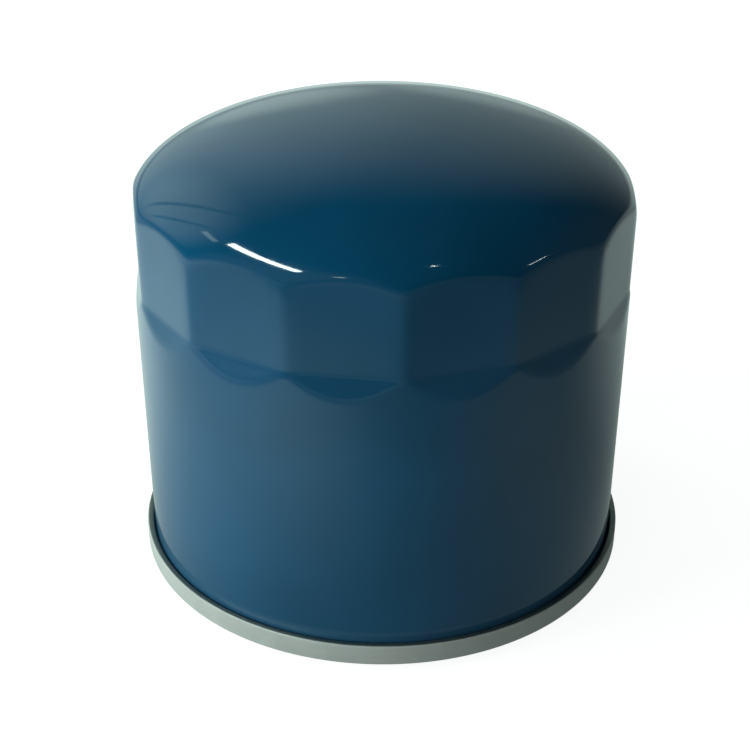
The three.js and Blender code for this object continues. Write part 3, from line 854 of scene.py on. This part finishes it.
def pleated_line(outer, inner, outer_half, inner_half, steps=5):
    """One face of the pleated paper, with half-round folds."""
    points = []
    for i in range(2 * PLEATS):
        middle = i / (2 * PLEATS) * TURN
        crest = i % 2 == 0
        radius, half, sign = (outer, outer_half, -1) if crest else (inner, inner_half, 1)
        for fold in np.linspace(-90, 90, steps + 2):
            a = math.radians(fold)
            reach = radius + sign * half * (1 - math.cos(a))
            angle = middle + half * math.sin(a) / reach
            points.append(around(reach, angle))
    return np.array(points)


def make_filter_media():
    """One pleated strip, whose two faces are a paper's thickness apart."""
    air = FOLD_GAP / 2
    outer = pleated_line(PLEAT_OUTER, PLEAT_INNER + PAPER, air + PAPER, air)
    inner = pleated_line(PLEAT_OUTER - PAPER, PLEAT_INNER, air, air + PAPER)
    return prism("filter_media", outer, inner, MEDIA_BOTTOM, MEDIA_TOP, sharp_angle=60)


def make_media_clip():
    """Channel of sheet that clasps the two ends of the paper in one fold."""
    side = CLIP_HALF_WIDTH - CLIP_SHEET / 2
    crest = PLEAT_OUTER + AIR + CLIP_SHEET / 2
    mouth = PLEAT_OUTER - CLIP_DEPTH
    line = bent([(-side, mouth), (-side, crest), (side, crest), (side, mouth)], radius=0.4)
    return bar("media_clip", sheet(line, CLIP_SHEET)[::-1], CLIP_BOTTOM, CLIP_TOP)


# ---- bypass valve and springs ----


def make_bypass_seat():
    """Flanged bush whose foot is the rim of the port that the seal closes."""
    thickness = 0.5
    bush, port = 8.6, 7
    top = SEAT_TOP - thickness / 2
    foot = SEAT_BOTTOM + thickness / 2
    line = bent([(SEAT_FLANGE, top), (bush, top), (bush, foot), (port, foot)], radius=0.7)
    return turned("bypass_seat", sheet(line, thickness), segments=144)


def make_bypass_cage():
    """Hat-shaped cage with four round windows and a hole that guides the stem."""
    thickness = 0.6
    wall = 11.6
    window_radius = 3.4
    top = CAGE_TOP - thickness / 2
    floor = CAGE_BOTTOM + thickness / 2
    line = bent([(CAGE_FLANGE, top), (wall, top), (wall, floor), (STEM_HOLE, floor)], radius=1.2)
    cage = turned("bypass_cage", sheet(line, thickness), segments=144)
    middle = (0, 0, (CAGE_TOP + CAGE_BOTTOM) / 2)
    for direction in ((0, 1, 0), (1, 0, 0)):
        cage = drilled(cage, [rod(window_radius, 4 * wall, middle, direction)])
    return cage


def make_bypass_seal():
    outline = ring_section(STEM_HOLE, SEAL_RADIUS, SEAL_BOTTOM, SEAL_TOP, edge=0.2)
    return turned("bypass_seal", outline, segments=144)


def make_bypass_poppet():
    """Disc with a turned-down rim that centres the spring."""
    half = 0.4
    middle = POPPET_TOP - half
    rim = POPPET_OUTER - half
    line = bent([(STEM_HOLE, middle), (rim, middle), (rim, POPPET_BOTTOM + half)], radius=1.2)
    return turned("bypass_poppet", sheet(line, 2 * half), segments=144)


def make_bypass_stem():
    """Pin with a chamfered foot and a domed head."""
    chamfer = 0.4
    head = STEM_TOP - 0.8
    return turned("bypass_stem", [
        (0, STEM_BOTTOM),
        (STEM_RADIUS - chamfer, STEM_BOTTOM),
        (STEM_RADIUS, STEM_BOTTOM + chamfer),
        (STEM_RADIUS, head),
        (STEM_HEAD - 0.15, head),
        (STEM_HEAD, head + 0.15),
        (STEM_HEAD - 0.1, head + 0.4),
        (STEM_HEAD - 0.6, head + 0.63),
        (STEM_HEAD / 2, head + 0.77),
        (0, STEM_TOP),
    ], segments=96)


def winding(radius, wire, turns, bottom, top, steps_per_turn=72):
    """Path of a coil with flat closed end turns between two heights of the wire's outside."""
    flat_turns = 0.7
    easing = 0.3  # how much of the climb is eased in and out; the rest is even
    share = np.linspace(0, 1, int(turns * steps_per_turn) + 1)
    end_share = flat_turns / turns
    rise = np.clip((share - end_share) / (1 - 2 * end_share), 0, 1)
    rise = rise * rise * (3 - 2 * rise) * easing + rise * (1 - easing)
    low, high = bottom + wire / 2, top - wire / 2
    height = (low + wire * share) * (1 - rise) + (high - wire * (1 - share)) * rise
    x, y = around(radius, share * turns * TURN)
    return np.column_stack([x, y, height])


def make_spring(name, outer, wire, turns, bottom, top):
    return swept_wire(name, winding(outer - wire / 2, wire, turns, bottom, top), wire)


# ---- assembly ----


def fit(made, node, body, material):
    """Gives a piece its material, puts it in place of a CAD node and hangs it on its body."""
    made.name = node + "_fine"
    made.data.materials.clear()
    made.data.materials.append(material)
    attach(made, body)
    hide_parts(node)


def assemble():
    finishes = {
        "blue_paint": blue_paint(),
        "zinc_steel": zinc_steel(),
        "plate_steel": plate_steel(),
        "tin_plate": tin_plate(),
        "spring_steel": spring_steel(),
        "black_rubber": rubber("black_rubber", (0.012, 0.012, 0.013), (0.05, 0.05, 0.05)),
        "orange_rubber": rubber("orange_rubber", (0.5, 0.14, 0.03), (0.6, 0.3, 0.15)),
        "sealant": sealant(),
        "adhesive": adhesive(),
        "filter_paper": filter_paper(),
    }
    retainer = make_spring("retaining_spring", RETAINER_OUTER, RETAINER_WIRE, RETAINER_TURNS,
                           RETAINER_BOTTOM, RETAINER_TOP)
    bypass = make_spring("bypass_spring", BYPASS_COIL_OUTER, BYPASS_WIRE, BYPASS_TURNS,
                         BYPASS_COIL_BOTTOM, BYPASS_COIL_TOP)
    lower_cap_middle = LOWER_CAP_BOTTOM + CAP_SHEET / 2
    upper_cap_middle = UPPER_CAP_TOP - CAP_SHEET / 2
    lower_cap = make_end_cap("lower_end_cap", lower_cap_middle, LOWER_RIM_TOP, LOWER_CAP_HOLE)
    upper_cap = make_end_cap("upper_end_cap", upper_cap_middle, UPPER_RIM_BOTTOM, UPPER_CAP_HOLE)
    pieces = [
        (make_can(), "housing", "blue_paint"),
        (make_seam_lid(), "housing", "zinc_steel"),
        (make_seam_compound(), "housing", "sealant"),
        (make_base_plate(), "housing", "plate_steel"),
        (make_gasket(), "housing", "black_rubber"),
        (make_anti_drain_valve(), "housing", "orange_rubber"),
        (lower_cap, "element", "tin_plate"),
        (upper_cap, "element", "tin_plate"),
        (make_potting("lower_potting", LOWER_BED, LOWER_BED_TOP), "element", "adhesive"),
        (make_potting("upper_potting", UPPER_BED_BOTTOM, UPPER_BED), "element", "adhesive"),
        (make_centre_tube(), "element", "tin_plate"),
        (make_filter_media(), "element", "filter_paper"),
        (make_media_clip(), "element", "tin_plate"),
        (make_bypass_seat(), "element", "tin_plate"),
        (make_bypass_cage(), "element", "tin_plate"),
        (make_bypass_seal(), "bypass_valve", "black_rubber"),
        (make_bypass_poppet(), "bypass_valve", "tin_plate"),
        (make_bypass_stem(), "bypass_valve", "spring_steel"),
        (retainer, "housing", "spring_steel"),
        (bypass, "element", "spring_steel"),
    ]
    for made, body, slot_name in pieces:
        node = made.name.split(".")[0]  # Blender adds a number, because the CAD node already has the name
        fit(made, node, body, finishes[slot_name])
    squash_spring(retainer)
    squash_spring(bypass)


def squash_spring(made):
    """Gives the spring its own copy of its mesh."""
    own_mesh(made)


# ---- stage ----

DAYLIGHT = (0.8, 1.0, 0.94)

# What the paint mirrors, as [azimuth, elevation, half width in degrees, radiance].
PANELS = [
    (180, 10, 55, 0.42),  # pale wall behind
    (-140, 20, 45, 0.4),  # window wall behind, to the left
    (-120, 27, 30, 0.6),
    (-172, 6, 9.5, 0.34),  # small windows low behind, one to each side
    (172, 2, 9, 0.2),
    (-45, 10, 45, 0.25),
    (100, 10, 45, 0.06),
]
ROOM = 0.01

# Straight dark window bars, each through two directions given as (azimuth, elevation).
WINDOW_BARS = [
    ((-132, 10), (-128, 52)),
    ((-125, 10), (-108, 45)),
]
BAR_SHADE = 0.65
BAR_CORE = 0.5  # degrees from a bar's middle line to where it starts to fade
BAR_EDGE = 1.3  # degrees to where it has gone
BAR_OVERRUN = 1.3  # how far a bar fades out past its two directions, as a share of its half length

# Pools of light on the floor as [x, y, radius in millimetres, radiance].
POOLS = [
    (-90, 10, 90, 0.6),
    (-130, 110, 150, 0.8),
    (-80, -80, 90, 0.75),
    (-30, -105, 80, 0.18),
    (80, -70, 80, 0.17),
    (125, 25, 70, 0.2),
    (140, 110, 130, 0.25),
    (20, 200, 160, 0.9),
    (0, 700, 900, 0.8),
    (0, 2500, 2500, 0.5),
    (0, 7000, 6000, 0.45),
    (-260, -40, 200, 0.9),
    (-40, -260, 180, 0.26),
    (-600, -350, 450, 0.55),
]
FLOOR_DIM = 0.14

# The floor as the eye sees it: a little less than white round the filter, so that its shadow shows.
STUDIO_WHITE = 0.99
FLOOR_SHADE = 0.09
SHADE_START, SHADE_END = 0.1, 0.5  # metres from the filter's axis
FLOOR_GREY = 0.35
FLOOR_HALF_SIDE = 20000

LIGHT_DISTANCE = 1.2

# Lamps seen only in the gloss: a long tube that draws the bright streak along the can's shoulder, and small
# ones that glint in the creases: azimuth, elevation, angles of the two ends, angle of thickness, radiance.
LAMPS = [
    (-78, 43.5, (-10, 38), 4, 40),
    (-97, 38, (-7, 5), 3, 2),
    (-18, 16, (-1.5, 1.5), 1.2, 25),
    (72, 22, (-5, 5), 1, 25),
    (29, 54, (-1.2, 1.2), 1.2, 40),
]

# Large square boxes that light the colour but stay out of the gloss: azimuth, elevation, side, radiance.
SOFT_BOXES = [
    (-70, 14, 0.6, 8.8),
    (-30, 14, 0.6, 2.6),
    (-110, 14, 0.6, 4.0),
    (0, 90, 0.8, 0.9),
]


class Light(Graph):
    """Small builder for the stage's own shaders."""

    def __init__(self, tree):
        super().__init__(tree)
        self.nodes.clear()

    def measured(self, operation, vector, other):
        """Dot product or distance between a vector and a fixed one."""
        node = self.nodes.new("ShaderNodeVectorMath")
        node.operation = operation
        self.links.new(vector, node.inputs[0])
        node.inputs[1].default_value = other
        return node.outputs["Value"]

    def faded(self, value, start, end):
        """Falls smoothly from 1 where value is start to 0 where it is end."""
        node = self.nodes.new("ShaderNodeMapRange")
        node.interpolation_type = "SMOOTHSTEP"
        node.inputs["From Min"].default_value = end
        node.inputs["From Max"].default_value = start
        self.links.new(value, node.inputs["Value"])
        return node.outputs["Result"]

    def summed(self, base, parts):
        """The base and each part times its strength."""
        total = base
        for strength, part in parts:
            total = self.math("ADD", total, self.math("MULTIPLY", part, strength))
        return total

    def glow(self, kind, strength, color=(1, 1, 1)):
        """A light-giving shader whose strength is a number or a node output."""
        node = self.nodes.new(kind)
        node.inputs["Color"].default_value = (*color, 1)
        if isinstance(strength, (int, float)):
            node.inputs["Strength"].default_value = strength
        else:
            self.links.new(strength, node.inputs["Strength"])
        return node.outputs[0]

    def shown_apart(self, for_gloss, for_camera, kind):
        """Shows one shader to the camera and another to everything that is lit."""
        seen = self.nodes.new("ShaderNodeLightPath")
        mix = self.nodes.new("ShaderNodeMixShader")
        output = self.nodes.new(kind)
        self.links.new(seen.outputs["Is Camera Ray"], mix.inputs[0])
        self.links.new(for_gloss, mix.inputs[1])
        self.links.new(for_camera, mix.inputs[2])
        self.links.new(mix.outputs[0], output.inputs["Surface"])


def toward(azimuth, elevation):
    """Unit vector at an azimuth from the front toward +X and an elevation above the floor."""
    a, e = math.radians(azimuth), math.radians(elevation)
    return Vector((math.sin(a) * math.cos(e), -math.cos(a) * math.cos(e), math.sin(e)))


def floor_white():
    """Plain pale studio floor: white to the eye, with pools of light in the paint's reflections."""
    material = bpy.data.materials.new("floor_white")
    material.use_nodes = True
    material.cycles.emission_sampling = "NONE"
    light = Light(material.node_tree)
    place = light.nodes.new("ShaderNodeNewGeometry").outputs["Position"]
    pools = []
    for x, y, radius, radiance in POOLS:
        away = light.measured("DISTANCE", place, Vector((x, y, 0)) * MM)
        pools.append((radiance, light.faded(away, 0, radius * MM)))
    mirrored = light.glow("ShaderNodeEmission", light.summed(FLOOR_DIM, pools), DAYLIGHT)
    away = light.measured("DISTANCE", place, Vector((0, 0, 0)))
    shade = (-FLOOR_SHADE, light.faded(away, SHADE_START, SHADE_END))
    glow = light.glow("ShaderNodeEmission", light.summed(STUDIO_WHITE, [shade]))
    matte = light.nodes.new("ShaderNodeBsdfDiffuse")
    matte.inputs["Color"].default_value = (FLOOR_GREY, FLOOR_GREY, FLOOR_GREY, 1)
    shown = light.nodes.new("ShaderNodeAddShader")
    light.links.new(glow, shown.inputs[0])
    light.links.new(matte.outputs[0], shown.inputs[1])
    light.shown_apart(mirrored, shown.outputs[0], "ShaderNodeOutputMaterial")
    return material


def make_floor():
    half = FLOOR_HALF_SIDE
    corners = [(-half, -half, 0), (half, -half, 0), (half, half, 0), (-half, half, 0)]
    floor = make_object("floor", corners, [(0, 1, 2, 3)])
    floor.data.materials.append(floor_white())


def window_bar(light, direction, start, end):
    """Dimmer along the line between two directions, 1 away from it."""
    beside = light.math("ABSOLUTE", light.measured("DOT_PRODUCT", direction, start.cross(end).normalized()))
    middle = (start + end).normalized()
    reach = BAR_OVERRUN * math.acos(start.dot(end)) / 2
    near = light.faded(light.measured("DOT_PRODUCT", direction, middle), 1, math.cos(reach))
    line = light.faded(beside, math.radians(BAR_CORE), math.radians(BAR_EDGE))
    return light.math("SUBTRACT", 1.0, light.math("MULTIPLY", light.math("MULTIPLY", line, near), BAR_SHADE))


def make_world():
    """Pale studio surroundings to the eye, and soft panels in a dim room for the gloss."""
    world = bpy.data.worlds.new("studio")
    world.use_nodes = True
    light = Light(world.node_tree)
    direction = light.nodes.new("ShaderNodeTexCoord").outputs["Generated"]
    panels = []
    for azimuth, elevation, spread, radiance in PANELS:
        facing = light.measured("DOT_PRODUCT", direction, toward(azimuth, elevation))
        panels.append((radiance, light.faded(facing, 1, math.cos(math.radians(spread)))))
    radiance = light.summed(ROOM, panels)
    for start, end in WINDOW_BARS:
        bar = window_bar(light, direction, toward(*start), toward(*end))
        radiance = light.math("MULTIPLY", radiance, bar)
    room = light.glow("ShaderNodeBackground", radiance, DAYLIGHT)
    pale = light.glow("ShaderNodeBackground", STUDIO_WHITE)
    light.shown_apart(room, pale, "ShaderNodeOutputWorld")
    bpy.context.scene.world = world


def add_area_light(name, azimuth, elevation, size, radiance, shift=0.0):
    """Rectangular light that faces the filter's shoulder, moved sideways by shift."""
    lamp = bpy.data.objects.new(name, bpy.data.lights.new(name, "AREA"))
    lamp.data.shape = "RECTANGLE"
    lamp.data.size, lamp.data.size_y = size
    lamp.data.color = DAYLIGHT
    lamp.data.energy = radiance * math.pi * size[0] * size[1]
    away = toward(azimuth, elevation)
    side = toward(azimuth + 90, 0)
    lamp.location = away * LIGHT_DISTANCE + side * shift + Vector((0, 0, SHOULDER_Z * MM))
    lamp.rotation_mode = "QUATERNION"
    lamp.rotation_quaternion = Matrix((side, away.cross(side), away)).transposed().to_quaternion()
    bpy.context.scene.collection.objects.link(lamp)
    return lamp


def add_lamp(azimuth, elevation, ends, thickness, radiance):
    """Long lamp square to a direction, for the gloss only."""
    level = LIGHT_DISTANCE * math.cos(math.radians(elevation))
    start, end = (level * math.tan(math.radians(angle)) for angle in ends)
    width = 2 * LIGHT_DISTANCE * math.tan(math.radians(thickness / 2))
    lamp = add_area_light("lamp", azimuth, elevation, (end - start, width), radiance, (start + end) / 2)
    lamp.visible_diffuse = False


def add_soft_boxes():
    for azimuth, elevation, side, radiance in SOFT_BOXES:
        add_area_light("soft_box", azimuth, elevation, (side, side), radiance).visible_glossy = False


def light_stage():
    make_floor()
    make_world()
    for lamp in LAMPS:
        add_lamp(*lamp)
    add_soft_boxes()
    bpy.context.scene.view_settings.view_transform = "Standard"


def make_camera():
    """Camera at the photographed angle: 28 degrees above the floor and square to the front."""
    distance, elevation, roll = 227.9, 28.37, 0.11
    aim = Vector((-1.19, 0, 28.96)) * MM
    camera = bpy.data.objects.new("camera", bpy.data.cameras.new("camera"))
    camera.data.lens = 66.46
    camera.data.sensor_width = 36
    camera.data.clip_start = 10 * MM
    e = math.radians(elevation)
    back = Vector((0, -math.cos(e), math.sin(e)))
    camera.location = aim + back * distance * MM
    camera.rotation_mode = "QUATERNION"
    tilt = Matrix.Rotation(math.radians(roll), 3, back).to_quaternion()
    camera.rotation_quaternion = tilt @ (-back).to_track_quat("-Z", "Y")
    bpy.context.scene.collection.objects.link(camera)
    bpy.context.scene.camera = camera


assemble()
light_stage()
make_camera()
